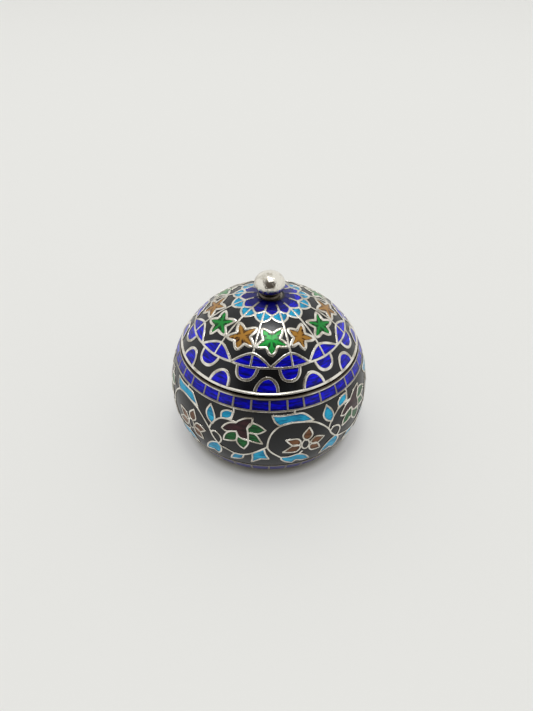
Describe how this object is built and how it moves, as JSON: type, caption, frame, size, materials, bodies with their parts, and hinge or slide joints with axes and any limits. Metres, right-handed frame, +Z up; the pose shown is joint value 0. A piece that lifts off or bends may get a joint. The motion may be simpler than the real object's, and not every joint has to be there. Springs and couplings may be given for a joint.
{
  "type": "cloisonne enamel box",
  "caption": "Round bellied trinket box of silver with inlaid coloured enamel, a lift-off domed lid edged with half-round wire, and a ball knob.",
  "frame": {"origin": "centre of the flat underside, on the surface that the box stands on", "axes": "+Z up along the axis that bowl, lid and knob are turned about; the side seen in the picture faces -Y, with +X to its right"},
  "size_m": [0.046, 0.046, 0.0407],
  "materials": {
    "silver": "polished silver, slightly softened by handling",
    "black_enamel": "opaque fired enamel, semi-gloss",
    "cobalt_enamel": "translucent fired enamel over scored silver, glossy",
    "turquoise_enamel": "translucent fired enamel over silver, glossy",
    "green_enamel": "translucent fired enamel over scored silver, glossy",
    "amber_enamel": "translucent fired enamel over scored silver, glossy",
    "brown_enamel": "translucent fired enamel, glossy",
    "maroon_enamel": "translucent fired enamel, glossy"
  },
  "bodies": {
    "root": {"bowl": "silver", "bowl_band_enamel": "cobalt_enamel", "bowl_field_enamel": "black_enamel", "bowl_foot_enamel": "cobalt_enamel", "lid": "silver", "lid_rim": "silver", "lid_enamel": "black_enamel", "finial_collar": "silver", "finial_ball": "silver"}
  },
  "joints": []
}
